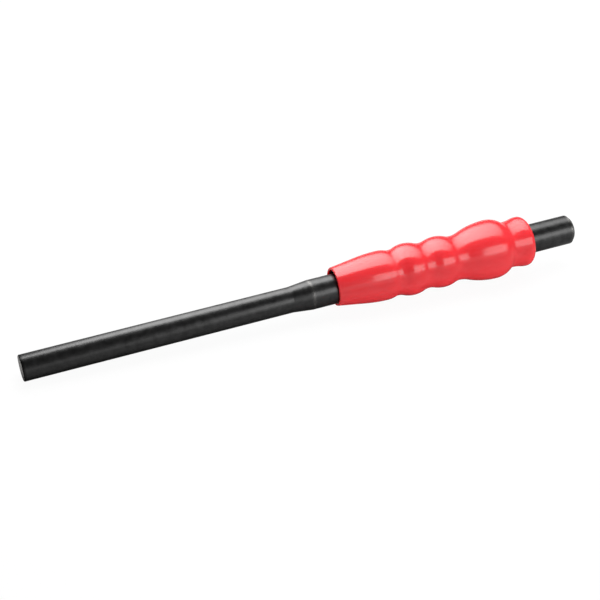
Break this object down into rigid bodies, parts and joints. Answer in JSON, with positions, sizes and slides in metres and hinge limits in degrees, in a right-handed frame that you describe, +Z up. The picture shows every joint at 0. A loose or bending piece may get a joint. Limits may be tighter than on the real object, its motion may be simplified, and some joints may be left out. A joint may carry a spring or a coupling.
{
  "type": "pin punch",
  "caption": "Pin punch: a round steel driving pin that widens by a cone into a shank with a flat struck head, in a soft plastic grip with finger ridges and a palm swell.",
  "frame": {"origin": "centre of the driving pin's flat tip face", "axes": "+X along the tool's axis from the tip to the struck head, +Z up when the tool lies on a bench, +Y to the left of a hand that drives it along -X"},
  "size_m": [0.271, 0.0284, 0.0285],
  "materials": {
    "black_oxide_steel": "satin black oxide",
    "red_soft_pvc": "glossy moulded"
  },
  "bodies": {
    "root": {"punch_bar": "black_oxide_steel", "grip_sleeve": "red_soft_pvc"}
  },
  "joints": []
}
